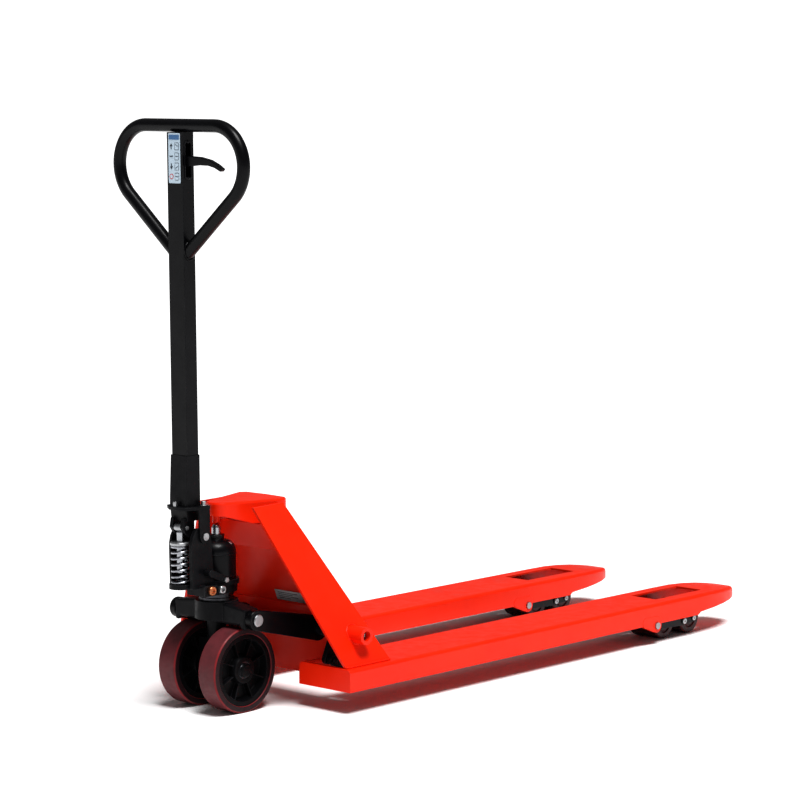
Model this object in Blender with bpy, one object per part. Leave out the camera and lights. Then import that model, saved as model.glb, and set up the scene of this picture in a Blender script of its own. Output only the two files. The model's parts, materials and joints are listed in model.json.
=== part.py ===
"""Hand pallet jack: a lifting fork chassis on a hydraulic pump unit with two steered wheels and a tiller.

Built in metres with +Z up and +X towards the fork tips. The left side is +Y. Shapes are given in
assembly coordinates, whose x starts at the forks' heels, and every pivot hangs from one empty that
moves the whole machine so that the row's origin lies under the middle of its bounding box.
"""

import math

import bmesh
import bpy
from mathutils import Matrix, Vector

# Forks
FORK_LENGTH = 1.402
WIDTH_OVER_FORKS = 0.54
FORK_WIDTH = 0.148
FORK_TOP = 0.097
HEEL_TOP = 0.0964
HEEL_END = 0.1460
FORK_UNDER = 0.0485
FORK_SHEET = 0.005
FORK_BEND = 0.008
FORK_Y = (WIDTH_OVER_FORKS - FORK_WIDTH) / 2
FORK_SOLID_NOSE = 0.045
HEEL_OPENING = (0.012, 0.110)
WINDOW_X = (1.086, 1.264)
WINDOW_HALF = 0.0370

# Lift linkage
SHAFT = (0.062, 0.1585)
SHAFT_RADIUS = 0.0101
BOSS_RADIUS = 0.0185
BOSS_Y = (0.2085, 0.2600)
ROCKER_PIN = (-0.122, 0.200)
ROCKER_Y = (0.1060, 0.1220)
CRANK_LENGTH = 0.06444
CRANK_LEAN = math.radians(35)
EAR_PIN = (1.043, 0.045)
EAR_PIN_RADIUS = 0.008
ARM_TIP = (1.165, 0.0382)
ROD_PIN_LENGTH = 0.034
ROD_PIN_LEAN = math.radians(45)
CRANK_PIN = (
    SHAFT[0] - CRANK_LENGTH * math.sin(CRANK_LEAN),
    SHAFT[1] - CRANK_LENGTH * math.cos(CRANK_LEAN),
)
ROD_PIN = (
    EAR_PIN[0] - ROD_PIN_LENGTH * math.sin(ROD_PIN_LEAN),
    EAR_PIN[1] + ROD_PIN_LENGTH * math.cos(ROD_PIN_LEAN),
)

# Load rollers
ROLLER_RADIUS = 0.0382
ROLLER_HALF_PITCH = 0.049
ROLLER_HALF_WIDTH = 0.040
LINK_Y = (0.0460, 0.0520)
FRAME_Y = (0.0545, 0.0605)

# Chassis head and braces
BRACE_FOOT_Y = 0.254
BRACE_SLOPE = 0.5225
BRACE_SHEET = 0.0075
BRACE_OUTLINE = ((-0.092, 0.4280), (-0.003, 0.4300), (0.1407, 0.0976), (0.005, 0.0976))
HEAD_TOP = 0.4375
HEAD_REAR = 0.032
HEAD_HALF = 0.0708
HEAD_WALL = 0.006
NOSE_CENTRE = -0.108
NOSE_RADIUS = 0.030
NOSE_TURN = math.radians(19.5)
PLATE_X = (0.092, 0.098)
PLATE_FOLD_Z = 0.195
CROSS_SHEET = 0.006
CROSS_MARGIN = 0.0008
HEAD_FLOOR = 0.381
HEAD_PLATE_X = -0.006
HEAD_PLATE_Z = (0.327, 0.3795)

# Steering unit
STEER_X = -0.122
WHEEL_RADIUS = 0.090
WHEEL_Y = 0.0602
WHEEL_WIDTH = 0.0506
TREAD = 0.014
AXLE_RADIUS = 0.0100
STEM_RADIUS = 0.0210
STEM_TOP = 0.2497
RAM_RADIUS = 0.0095
RAM_Z = (0.205, 0.3920)

# Pump
PUMP_FLOOR = 0.2500
PUMP_DECK = 0.2765
SPRING_FLANGE_Z = 0.2665
SPRING_X = -0.224
SPRING_END_RADIUS = 0.0245
RESERVOIR_RADIUS = 0.0415
RESERVOIR_TOP = 0.362
SPRING_Z = (0.2770, 0.3575)
SPRING_COIL_RADIUS = 0.0178
SPRING_CAP_RADIUS = 0.0220
SPRING_WIRE_RADIUS = 0.0027
SPRING_TURNS = 7.0

EAR_LEFT_Y = (0.0235, 0.0300)
EAR_RIGHT_Y = (-0.0390, -0.0300)
EAR_OUTLINE = (
    (-0.2270, 0.2680), (-0.1640, 0.2680), (-0.1720, 0.3400), (-0.1760, 0.3840), (-0.1850, 0.3930),
    (-0.2080, 0.3935), (-0.2170, 0.3900), (-0.2255, 0.3750), (-0.2290, 0.3600), (-0.2290, 0.3400),
)
RELEASE_PIVOT = (-0.190, 0.3000)
RELEASE_TIP = (-0.151, 0.2820)
RELEASE_Y = (-0.0585, -0.0545)

# Tiller
HANDLE_PIVOT = (-0.195, 0.376)
HANDLE_LEAN = math.radians(0.656)
PRESS_ROLLER = (-0.225, 0.3955)
PRESS_ROLLER_RADIUS = 0.0085
POST_X = -0.2068
POST_SIZE = (0.032, 0.0455)
POST_WALL = 0.003
POST_FOOT = 0.462
SOCKET_SKIN = 0.0015
SOCKET_FLARE = ((0.4090, 0.0030), (0.4400, 0.0070), (0.4600, 0.0065), (0.5450, 0.0022))
FLANGE_Z = (0.4330, 0.4395)
SOCKET_BOLT = (-0.2372, 0)
CLEVIS_LEFT_Y = (0.0310, 0.0350)
CLEVIS_RIGHT_Y = (-0.0440, -0.0398)
LOOP_TUBE = 0.0135
LOOP_ARC_RADIUS = 0.0815
LOOP_ARC_Y = 0.102
LOOP_TOP = 1.2222
LOOP_LEG_ANGLE = math.radians(49.5)
LOOP_STEPS = 12
LEVER_PIVOT_Z = 1.148
SLOT_Z = (1.117, 1.187)

GAP = 0.0003
ORIGIN_X = (FORK_LENGTH + SPRING_X - SPRING_END_RADIUS) / 2
SIDES = (("left", 1), ("right", -1))

# Each material: colour, roughness, metallic.
MATERIALS = {
    "red_paint": ((0.86, 0.045, 0.015), 0.35, 0.0),
    "black_enamel": ((0.012, 0.012, 0.014), 0.35, 0.0),
    "cast_black": ((0.016, 0.016, 0.018), 0.5, 0.0),
    "zinc": ((0.62, 0.63, 0.65), 0.32, 1.0),
    "bright_steel": ((0.70, 0.71, 0.73), 0.2, 1.0),
    "spring_steel": ((0.72, 0.73, 0.76), 0.25, 1.0),
    "polyurethane": ((0.20, 0.035, 0.042), 0.45, 0.0),
    "roller_tread": ((0.035, 0.016, 0.017), 0.4, 0.0),
    "copper": ((0.55, 0.20, 0.09), 0.4, 1.0),
    "label_film": ((0.55, 0.70, 0.82), 0.4, 0.0),
    "data_plate": ((0.45, 0.45, 0.46), 0.35, 0.6),
}
PLACES = {}


def clear_scene():
    for obj in list(bpy.data.objects):
        bpy.data.objects.remove(obj, do_unlink=True)


def make_material(name):
    colour, roughness, metallic = MATERIALS[name]
    material = bpy.data.materials.new(name)
    material.use_nodes = True
    shader = material.node_tree.nodes["Principled BSDF"]
    shader.inputs["Base Color"].default_value = (*colour, 1)
    shader.inputs["Roughness"].default_value = roughness
    shader.inputs["Metallic"].default_value = metallic
    material.diffuse_color = (*colour, 1)
    return material


def make_pivot(name, place, parent=None, lean=0.0):
    """An empty on a joint's axis. Place is in assembly coordinates, before any lean of its parent."""
    pivot = bpy.data.objects.new(name, None)
    bpy.context.scene.collection.objects.link(pivot)
    PLACES[name] = Vector(place)
    pivot.parent = parent
    pivot.location = PLACES[name] - (PLACES[parent.name] if parent else Vector((ORIGIN_X, 0, 0)))
    pivot.rotation_euler = (0, -lean, 0)
    return pivot


def add(name, shape, material, pivot, bevel=0.0, smooth=30):
    """Turn a bmesh in assembly coordinates into a named object that hangs from its pivot."""
    bmesh.ops.recalc_face_normals(shape, faces=shape.faces)
    mesh = bpy.data.meshes.new(name)
    shape.to_mesh(mesh)
    shape.free()
    mesh.transform(Matrix.Translation(-PLACES[pivot.name]))
    mesh.shade_smooth()
    mesh.set_sharp_from_angle(angle=math.radians(smooth))
    mesh.materials.append(bpy.data.materials[material])
    obj = bpy.data.objects.new(name, mesh)
    bpy.context.scene.collection.objects.link(obj)
    obj.parent = pivot
    if bevel:
        rounding = obj.modifiers.new("rounding", "BEVEL")
        rounding.width = bevel
        rounding.segments = 2
        rounding.limit_method = "ANGLE"
        rounding.angle_limit = math.radians(40)
    return obj


def boolean(obj, shape, operation):
    """Cut a shape from an object, or fuse it on, with a hidden helper that hangs from the same pivot."""
    helper = add(f"{obj.name}_helper", shape, obj.data.materials[0].name, obj.parent)
    helper.hide_render = True
    helper.display_type = "WIRE"
    modifier = obj.modifiers.new(operation.lower(), "BOOLEAN")
    modifier.operation = operation
    modifier.object = helper


def cut(obj, *shapes):
    for shape in shapes:
        boolean(obj, shape, "DIFFERENCE")


def fuse(obj, *shapes):
    for shape in shapes:
        boolean(obj, shape, "UNION")


def oriented(axis, u, v, along):
    """A point from its two coordinates across an axis and its place along it."""
    return {"X": (along, u, v), "Y": (u, along, v), "Z": (u, v, along)}[axis]


def skin(rings):
    """A closed mesh through rings of points that match one to one, with a face over each end."""
    shape = bmesh.new()
    loops = [[shape.verts.new(point) for point in ring] for ring in rings]
    count = len(loops[0])
    for low, high in zip(loops, loops[1:]):
        for i in range(count):
            j = (i + 1) % count
            shape.faces.new((low[i], low[j], high[j], high[i]))
    shape.faces.new(list(reversed(loops[0])))
    shape.faces.new(loops[-1])
    return shape


def prism(outline, axis, low, high):
    return skin([[oriented(axis, u, v, along) for u, v in outline] for along in (low, high)])


def box(low, high):
    (x0, y0, z0), (x1, y1, z1) = low, high
    return prism([(x0, y0), (x1, y0), (x1, y1), (x0, y1)], "Z", z0, z1)


def lathe(profile, axis, centre, steps=20):
    """Turn (radius, along) points about an axis. A profile that starts and ends on the axis is solid."""
    shape = bmesh.new()
    solid = profile[0][0] == 0
    rings = []
    for radius, along in profile:
        turns = 1 if radius == 0 else steps
        ring = []
        for i in range(turns):
            angle = 2 * math.pi * i / steps
            u = centre[0] + radius * math.cos(angle)
            v = centre[1] + radius * math.sin(angle)
            ring.append(shape.verts.new(oriented(axis, u, v, along)))
        rings.append(ring)
    pairs = list(zip(rings, rings[1:]))
    if not solid:
        pairs.append((rings[-1], rings[0]))
    for low, high in pairs:
        for i in range(steps):
            j = (i + 1) % steps
            corners = [low[i % len(low)], low[j % len(low)], high[j % len(high)], high[i % len(high)]]
            shape.faces.new(list(dict.fromkeys(corners)))
    return shape


def cylinder(axis, centre, radius, low, high, steps=20):
    return lathe([(0, low), (radius, low), (radius, high), (0, high)], axis, centre, steps)


def tube(axis, centre, radius, bore, low, high, steps=20):
    return lathe([(bore, low), (radius, low), (radius, high), (bore, high)], axis, centre, steps)


def convex(points):
    """The convex outline round a set of 2D points."""
    points = sorted(set(points))

    def half(ordered):
        chain = []
        for point in ordered:
            while len(chain) > 1:
                (ax, ay), (bx, by) = chain[-2], chain[-1]
                if (bx - ax) * (point[1] - ay) - (by - ay) * (point[0] - ax) > 1e-12:
                    break
                chain.pop()
            chain.append(point)
        return chain[:-1]

    return half(points) + half(points[::-1])


def round_link(*circles, steps=20):
    """The outline of a link: the belt round circles given as (u, v, radius)."""
    turns = [2 * math.pi * i / steps for i in range(steps)]
    return convex([(u + r * math.cos(t), v + r * math.sin(t)) for u, v, r in circles for t in turns])


def strip(points, half):
    """The outline of a bar of even height that follows a line of points, cut square at its ends."""
    line = [Vector(point) for point in points]
    upper, lower = [], []
    for i, point in enumerate(line):
        before = (point - line[i - 1]).normalized() if i else (line[1] - point).normalized()
        after = (line[i + 1] - point).normalized() if i + 1 < len(line) else before
        normal = Vector((-before.y - after.y, before.x + after.x)).normalized()
        reach = half / max(0.5, normal.dot(Vector((-after.y, after.x))))
        upper.append(tuple(point + normal * reach))
        lower.append(tuple(point - normal * reach))
    return upper[::-1] + lower


def sweep(path, radius, sides, across):
    """A round bar along a path. Across(i) gives two unit vectors that span the section at point i."""
    rings = []
    for i, point in enumerate(path):
        first, second = across(i)
        turns = [2 * math.pi * k / sides for k in range(sides)]
        rings.append([point + radius * (math.cos(t) * first + math.sin(t) * second) for t in turns])
    return skin(rings)


def arc(centre, radius, start, end, steps):
    """Points along a circular arc, from start to end in radians."""
    angles = [start + (end - start) * i / steps for i in range(steps + 1)]
    return [(centre[0] + radius * math.cos(t), centre[1] + radius * math.sin(t)) for t in angles]


# ---------------------------------------------------------------- forks

def fork_ring(x, middle, half, top, under, bend):
    """A fork's section at x: a square-footed arch with its two upper corners bent round."""
    left = arc((-half + bend, top - bend), bend, math.pi, math.pi / 2, 3)
    right = arc((half - bend, top - bend), bend, math.pi / 2, 0, 3)
    outline = [(-half, under), *left, *right, (half, under)]
    return [(x, middle + y, z) for y, z in outline]


def fork_shape(middle, inset, stations):
    rings = []
    for x, half, top, under in stations:
        rings.append(fork_ring(x, middle, half - inset, top - inset, under, FORK_BEND - inset / 2))
    return skin(rings)


def add_fork(side, sign, chassis):
    middle = sign * FORK_Y
    half = FORK_WIDTH / 2
    outer = (
        (0, half, HEEL_TOP, FORK_UNDER),
        (HEEL_END, half, HEEL_TOP, FORK_UNDER),
        (HEEL_END + 0.003, half, FORK_TOP, FORK_UNDER),
        (1.205, half, FORK_TOP, FORK_UNDER),
        (1.215, half, FORK_TOP, 0.0545),
        (1.270, half - 0.0015, FORK_TOP, 0.0585),
        (1.315, half - 0.0070, FORK_TOP - 0.0015, 0.0617),
        (1.352, half - 0.0165, FORK_TOP - 0.0040, 0.0643),
        (1.382, half - 0.0300, FORK_TOP - 0.0070, 0.0665),
        (FORK_LENGTH, half - 0.0460, FORK_TOP - 0.0100, 0.0680),
    )
    below = FORK_UNDER - 0.030
    inner = (
        (FORK_SHEET, half, FORK_TOP, below),
        (1.270, half - 0.0015, FORK_TOP, below),
        (1.315, half - 0.0070, FORK_TOP - 0.0015, below),
        (FORK_LENGTH - FORK_SOLID_NOSE, half - 0.0180, FORK_TOP - 0.0045, below),
    )
    fork = add(f"fork_{side}", fork_shape(middle, 0, outer), "red_paint", chassis)
    ears = []
    for wall in (-1, 1):
        face = middle + wall * half
        low, high = sorted((face + wall * 0.0008, face - wall * 0.0075))
        outline = round_link((*EAR_PIN, 0.0165), (1.002, 0.056, 0.012), (1.047, 0.056, 0.012))
        ears.append(prism(outline, "Y", low, high))
    cut(fork, fork_shape(middle, FORK_SHEET, inner))
    fuse(fork, *ears)
    window = prism(
        [(WINDOW_X[0], middle - WINDOW_HALF), (WINDOW_X[1], middle - WINDOW_HALF),
         (WINDOW_X[1], middle + WINDOW_HALF), (WINDOW_X[0], middle + WINDOW_HALF)],
        "Z", FORK_TOP - 0.015, FORK_TOP + 0.01,
    )
    edges = sorted((middle - sign * (half - 0.013), middle + sign * (half - 0.022)))
    opening = box(
        (HEEL_OPENING[0], edges[0], FORK_TOP - 0.015),
        (HEEL_OPENING[1], edges[1], FORK_TOP + 0.01),
    )
    pin_hole = cylinder("Y", EAR_PIN, EAR_PIN_RADIUS + GAP, middle - 0.1, middle + 0.1, 20)
    cut(fork, window, opening, pin_hole)
    reach = half + 0.0045
    pin = cylinder("Y", EAR_PIN, EAR_PIN_RADIUS, middle - reach, middle + reach, 20)
    add(f"ear_pin_{side}", pin, "zinc", chassis)


# ---------------------------------------------------------------- chassis head, braces and plates

def brace_face(z):
    """How far out the outer face of a brace stands at height z."""
    return BRACE_FOOT_Y - (z - BRACE_OUTLINE[2][1]) * BRACE_SLOPE


def plate_between(x_of, low, high):
    """A cross plate between the braces from height low to high, whose rear face follows x_of(z)."""
    rings = []
    for x_shift in (-CROSS_SHEET, 0):
        ring = []
        for z, sign in ((low, -1), (low, 1), (high, 1), (high, -1)):
            half = brace_face(z) - BRACE_SHEET - CROSS_MARGIN
            ring.append((x_of(z) + x_shift, sign * half, z))
        rings.append(ring)
    return skin(rings)


def rear_line(z):
    """Where the rear edges of the braces run: x at height z."""
    (x0, z0), (x1, z1) = BRACE_OUTLINE[1], BRACE_OUTLINE[2]
    return x0 + (x1 - x0) * (z - z0) / (z1 - z0)


def add_chassis(chassis):
    for side, sign in SIDES:
        add_fork(side, sign, chassis)
        outline = [*BRACE_OUTLINE]
        rings = []
        for inset in (0, BRACE_SHEET):
            rings.append([(x, sign * (brace_face(z) - inset), z) for x, z in outline])
        brace = add(f"brace_{side}", skin(rings), "red_paint", chassis)
        boss = sorted((sign * BOSS_Y[0], sign * BOSS_Y[1]))
        fuse(brace, cylinder("Y", SHAFT, BOSS_RADIUS, *boss, 24))
        cut(brace, cylinder("Y", SHAFT, SHAFT_RADIUS + 0.0004, *sorted((sign * 0.15, sign * 0.30)), 24))
    corner = HEAD_HALF - 0.012
    outline = [(HEAD_REAR - 0.020, HEAD_HALF), *head_nose(), (HEAD_REAR - 0.020, -HEAD_HALF)]
    outline += [(HEAD_REAR - 0.004, -corner), (HEAD_REAR, 0), (HEAD_REAR - 0.004, corner)]
    shell = prism(outline, "Z", HEAD_FLOOR, HEAD_TOP)
    head = add("head_cap", shell, "red_paint", chassis, bevel=0.005)
    along, across = 1 - HEAD_WALL / 0.08, 1 - HEAD_WALL / HEAD_HALF
    inside = [(x * along - 0.0045, y * across) for x, y in outline]
    hollow = prism(inside, "Z", 0.37, HEAD_TOP - 0.008)
    below = [(-0.2, 0.408), (-0.125, 0.408), (-0.06, 0.389), (0.06, 0.385), (0.06, 0.36), (-0.2, 0.36)]
    skirt = prism(below, "Y", -0.1, 0.1)
    cut(head, hollow, skirt)
    seat = cylinder("Z", (STEER_X, 0), 0.0080, RAM_Z[1] + 0.0016, HEAD_TOP - 0.008 - GAP, 24)
    add("ball_seat", seat, "red_paint", chassis)
    front = plate_between(lambda z: HEAD_PLATE_X, *HEAD_PLATE_Z)
    add("head_front_plate", front, "red_paint", chassis)
    slope = plate_between(rear_line, PLATE_FOLD_Z + GAP, HEAD_FLOOR - 2 * GAP)
    add("load_plate_upper", slope, "red_paint", chassis)
    add_lower_plate(chassis)


def head_nose():
    """The head's nose, from its left side round the front to its right side."""
    return arc((NOSE_CENTRE, 0), NOSE_RADIUS, math.pi / 2 + NOSE_TURN, 3 * math.pi / 2 - NOSE_TURN, 10)


def add_lower_plate(chassis):
    inner = FORK_Y - FORK_WIDTH / 2 - 2 * GAP
    low, step, high = FORK_UNDER, FORK_TOP + GAP, PLATE_FOLD_Z
    wide_low = brace_face(step) - BRACE_SHEET - CROSS_MARGIN
    wide_high = brace_face(high) - BRACE_SHEET - CROSS_MARGIN
    outline = [(-inner, low), (inner, low), (inner, step), (wide_low, step), (wide_high, high)]
    outline += [(-wide_high, high), (-wide_low, step), (-inner, step)]
    add("load_plate_lower", prism(outline, "X", *PLATE_X), "red_paint", chassis)
    shaft = cylinder("Y", SHAFT, SHAFT_RADIUS, -0.245, 0.245, 24)
    add("rocker_shaft", shaft, "bright_steel", chassis)
    z0, z1 = 0.199, 0.223
    rings = []
    for lift in (0.0063, 0.0073):
        ring = []
        for z, y in ((z0, -0.056), (z0, 0.030), (z1, 0.030), (z1, -0.056)):
            ring.append((rear_line(z) - lift, y, z))
        rings.append(ring)
    add("data_plate", skin(rings), "data_plate", chassis)


# ---------------------------------------------------------------- rocker, push rods and load rollers

def add_rocker(rocker):
    add("torsion_tube", tube("Y", SHAFT, 0.0145, 0.0106, -0.2045, 0.2045, 24), "cast_black", rocker)
    for side, sign in SIDES:
        low, high = sorted((sign * ROCKER_Y[0], sign * ROCKER_Y[1]))
        outline = round_link((*ROCKER_PIN, 0.0215), (*SHAFT, 0.0270), steps=28)
        arm = add(f"rocker_arm_{side}", prism(outline, "Y", low, high), "black_enamel", rocker)
        cut(arm, cylinder("Y", SHAFT, 0.0145 + GAP, low - 0.01, high + 0.01, 24))
        cut(arm, cylinder("Y", ROCKER_PIN, 0.0095 + GAP, low - 0.01, high + 0.01, 20))
        near_face, far_face = ROCKER_Y[0] + GAP, ROCKER_Y[1] + GAP
        cap = ROCKER_Y[1] + 0.0045
        profile = [(0, near_face), (0.0095, near_face), (0.0095, far_face)]
        profile += [(0.0130, far_face), (0.0130, cap - 0.0013), (0.0115, cap), (0, cap)]
        pin = lathe([(radius, sign * along) for radius, along in profile], "Y", ROCKER_PIN, 20)
        add(f"rocker_pin_{side}", pin, "zinc", rocker)
        near = sorted((sign * 0.1745, sign * 0.1860))
        outline = round_link((*SHAFT, 0.0230), (*CRANK_PIN, 0.0115), steps=24)
        crank = add(f"crank_{side}", prism(outline, "Y", *near), "cast_black", rocker)
        cut(crank, cylinder("Y", SHAFT, 0.0145 + GAP, near[0] - 0.01, near[1] + 0.01, 24))
        fuse(crank, cylinder("Y", CRANK_PIN, 0.0060, *sorted((sign * 0.1800, sign * 0.2060)), 16))


def add_push_rod(side, sign, pivot):
    start, end = CRANK_PIN, ROD_PIN
    low, high = sorted((sign * (FORK_Y - 0.0060), sign * (FORK_Y + 0.0060)))
    run = end[1]
    path = (start, (start[0] + 0.034, run), (0.50, run), (end[0], run))
    rod = add(f"push_rod_{side}", prism(strip(path, 0.0085), "Y", low, high), "cast_black", pivot)
    eye = cylinder("Y", start, 0.0115, low, high, 20)
    tip = cylinder("Y", end, 0.0100, low, high, 20)
    span = FRAME_Y[0] - 0.0004
    cross = cylinder("Y", end, 0.0060, sign * FORK_Y - span, sign * FORK_Y + span, 16)
    fuse(rod, eye, tip, cross)
    cut(rod, cylinder("Y", start, 0.0060 + GAP, low - 0.01, high + 0.01, 16))


def add_wheel_frame(side, sign, pivot):
    """Two cheek plates on a cross tube, which swing about the ear pin."""
    middle = sign * FORK_Y
    outline = round_link((*EAR_PIN, 0.0130), (*ROD_PIN, 0.0100), steps=16)
    arm = round_link((*EAR_PIN, 0.0130), (*ARM_TIP, 0.0110), steps=16)
    frame = add(
        f"wheel_frame_{side}",
        tube("Y", EAR_PIN, 0.0128, EAR_PIN_RADIUS + GAP, middle - FRAME_Y[1], middle + FRAME_Y[1], 20),
        "black_enamel", pivot,
    )
    for wall in (-1, 1):
        low, high = sorted((middle + wall * FRAME_Y[0], middle + wall * FRAME_Y[1]))
        fuse(frame, prism(arm, "Y", low, high))
        fuse(frame, prism(outline, "Y", low + 0.0004, high - 0.0004))
    cut(frame, cylinder("Y", EAR_PIN, EAR_PIN_RADIUS + GAP, middle - 0.1, middle + 0.1, 20))
    reach = FRAME_Y[1] + 0.0025
    fuse(frame, cylinder("Y", ARM_TIP, 0.0060, middle - reach, middle + reach, 16))


def add_bogie(side, sign, pivot):
    """Two link plates on a cross tube, which carry the tandem rollers' axles."""
    middle = sign * FORK_Y
    rollers = [(ARM_TIP[0] + step * ROLLER_HALF_PITCH, ROLLER_RADIUS) for step in (-1, 1)]
    outline = round_link((*rollers[0], 0.0095), (*ARM_TIP, 0.0120), (*rollers[1], 0.0095), steps=14)
    bogie = add(
        f"bogie_{side}",
        tube("Y", ARM_TIP, 0.0095, 0.0060 + GAP, middle - LINK_Y[1], middle + LINK_Y[1], 16),
        "black_enamel", pivot,
    )
    for wall in (-1, 1):
        low, high = sorted((middle + wall * LINK_Y[0], middle + wall * LINK_Y[1]))
        fuse(bogie, prism(outline, "Y", low, high))
    cut(bogie, cylinder("Y", ARM_TIP, 0.0060 + GAP, middle - 0.1, middle + 0.1, 16))
    reach = LINK_Y[1] + 0.0020
    for centre in rollers:
        fuse(bogie, cylinder("Y", centre, 0.0050, middle - reach, middle + reach, 16))


def add_load_roller(side, sign, end, centre, pivot):
    middle = sign * FORK_Y
    half, bore = ROLLER_HALF_WIDTH, 0.0050 + GAP
    profile = [(bore, -half + 0.003), (0.020, -half + 0.003), (0.022, -half)]
    profile += [(ROLLER_RADIUS - 0.003, -half), (ROLLER_RADIUS, -half + 0.003)]
    mirrored = [(radius, -along) for radius, along in reversed(profile)]
    shape = lathe([(radius, middle + along) for radius, along in profile + mirrored], "Y", centre, 24)
    add(f"load_roller_{side}_{end}", shape, "roller_tread", pivot)


# ---------------------------------------------------------------- base and steering unit

def add_base(base):
    reach, rise = 0.1055, 0.0015
    outline = [(-reach, 0.1785), (-0.095, 0.1785), (-0.089, 0.1865), (0.089, 0.1865), (0.095, 0.1785)]
    outline += [(reach, 0.1785), (reach, 0.2215), (0.045, 0.2300), (-0.045, 0.2300), (-reach, 0.2215)]
    beam = prism(outline, "X", STEER_X - 0.0215, STEER_X + 0.0215)
    plate = add("thrust_plate", beam, "cast_black", base, bevel=0.006)
    fuse(plate, cylinder("Z", (STEER_X, 0), 0.046, 0.192, 0.2300 + rise, 32))
    cut(plate, cylinder("Z", (STEER_X, 0), STEM_RADIUS + 0.001, 0.15, 0.26, 28))
    ring = [(0.0235, 0.2320), (0.037, 0.2320), (0.037, 0.2375), (0.035, 0.2385), (0.035, 0.2445)]
    ring += [(0.037, 0.2455), (0.037, PUMP_FLOOR - GAP), (0.0235, PUMP_FLOOR - GAP)]
    add("thrust_bearing", lathe(ring, "Z", (STEER_X, 0), 32), "bright_steel", base)


def add_steering(steer):
    axle_line = (STEER_X, WHEEL_RADIUS)
    stem = [(0, 0.120), (STEM_RADIUS, 0.120), (STEM_RADIUS, STEM_TOP), (0, STEM_TOP)]
    yoke = add("axle_yoke", lathe(stem, "Z", (STEER_X, 0), 28), "cast_black", steer)
    fork = [(-0.018, 0.066), (0.018, 0.066), (0.024, 0.074), (0.024, 0.112), (0.020, 0.150)]
    fork += [(-0.020, 0.150), (-0.024, 0.112), (-0.024, 0.074)]
    block = prism([(STEER_X + x, z) for x, z in fork], "Y", -0.0320, 0.0320)
    fuse(yoke, block)
    cut(yoke, cylinder("Y", axle_line, AXLE_RADIUS + GAP, -0.1, 0.1, 24))
    cut(yoke, cylinder("Z", (STEER_X, 0), RAM_RADIUS + 0.0008, RAM_Z[0] - 0.003, 0.3, 24))
    collar = WHEEL_Y + WHEEL_WIDTH / 2 - 0.0003
    ends = [(0, -collar - 0.0052), (0.0110, -collar - 0.0045), (0.0150, -collar - 0.0022)]
    ends += [(0.0150, -collar), (AXLE_RADIUS, -collar)]
    ends += [(radius, -along) for radius, along in reversed(ends)]
    add("steer_axle", lathe(ends, "Y", axle_line, 24), "bright_steel", steer)
    add_pump(steer)


def add_steer_wheel(side, sign, pivot):
    centre = (STEER_X, WHEEL_RADIUS)
    half = WHEEL_WIDTH / 2
    seat = WHEEL_RADIUS - TREAD
    tread = [(seat, -half + 0.001), (WHEEL_RADIUS - 0.004, -half), (WHEEL_RADIUS, -half + 0.004)]
    tread += [(radius, -along) for radius, along in reversed(tread)]
    hub_half = half - 0.0025
    hub = [(0.0180, -hub_half), (0.0275, -hub_half), (0.0300, -0.012), (0.058, -0.006), (0.063, -hub_half)]
    hub += [(seat - GAP, -hub_half)]
    hub += [(radius, -along) for radius, along in reversed(hub)]
    bearing = [(AXLE_RADIUS + GAP, -hub_half + 0.001), (0.0180 - GAP, -hub_half + 0.001)]
    bearing += [(radius, -along) for radius, along in reversed(bearing)]
    for name, profile, material, steps in (
        (f"steer_tyre_{side}", tread, "polyurethane", 36),
        (f"steer_hub_{side}", hub, "black_enamel", 24),
        (f"wheel_bearing_{side}", bearing, "bright_steel", 20),
    ):
        shape = lathe([(radius, sign * WHEEL_Y + along) for radius, along in profile], "Y", centre, steps)
        add(name, shape, material, pivot)


# ---------------------------------------------------------------- pump

def add_pump(steer):
    centre = (STEER_X, 0)
    plan = round_link((SPRING_X, 0, SPRING_END_RADIUS), (STEER_X, 0, 0.0480), steps=32)
    body = add("pump_body", prism(plan, "Z", SPRING_FLANGE_Z, PUMP_DECK), "cast_black", steer)
    fuse(body, cylinder("Z", centre, 0.0440, PUMP_FLOOR, SPRING_FLANGE_Z + 0.004, 32))
    fuse(body, prism(EAR_OUTLINE, "Y", *EAR_LEFT_Y), prism(EAR_OUTLINE, "Y", *EAR_RIGHT_Y))
    fuse(body, prism([(-0.207, -0.053), (-0.137, -0.053), (-0.130, 0), (-0.207, 0)], "Z", 0.2515, 0.2740))
    cut(body, cylinder("Z", (SPRING_X, 0), 0.0086, 0.2, 0.3, 20))
    cut(body, cylinder("Z", centre, RAM_RADIUS + 0.0008, 0.2, 0.3, 24))
    cut(body, cylinder("Y", HANDLE_PIVOT, 0.0080 + GAP, -0.1, 0.1, 20))
    for name, x, z, radius, depth, material in (
        ("drain_plug", -0.1880, 0.2628, 0.0095, 0.006, "copper"),
        ("relief_valve_cap", -0.1620, 0.2628, 0.0085, 0.009, "zinc"),
    ):
        plug = cylinder("Y", (x, z), radius, -0.0533 - depth, -0.0533, 20)
        add(name, plug, material, steer)
    tank = [(RAM_RADIUS + 0.0008, PUMP_DECK + GAP), (RESERVOIR_RADIUS, PUMP_DECK + GAP)]
    tank += [(RESERVOIR_RADIUS, 0.3340)]
    dome = arc((RESERVOIR_RADIUS - 0.024, 0.3340), 0.0240, 0, math.radians(76), 5)
    tank += dome[1:] + [(0.0165, RESERVOIR_TOP - 0.004), (0.0165, RESERVOIR_TOP + 0.004)]
    tank += [(RAM_RADIUS + 0.0008, RESERVOIR_TOP + 0.004)]
    add("reservoir", lathe(tank, "Z", centre, 28), "black_enamel", steer)
    add("handle_pin", cylinder("Y", HANDLE_PIVOT, 0.0080, -0.0470, 0.0380, 16), "zinc", steer)


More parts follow.
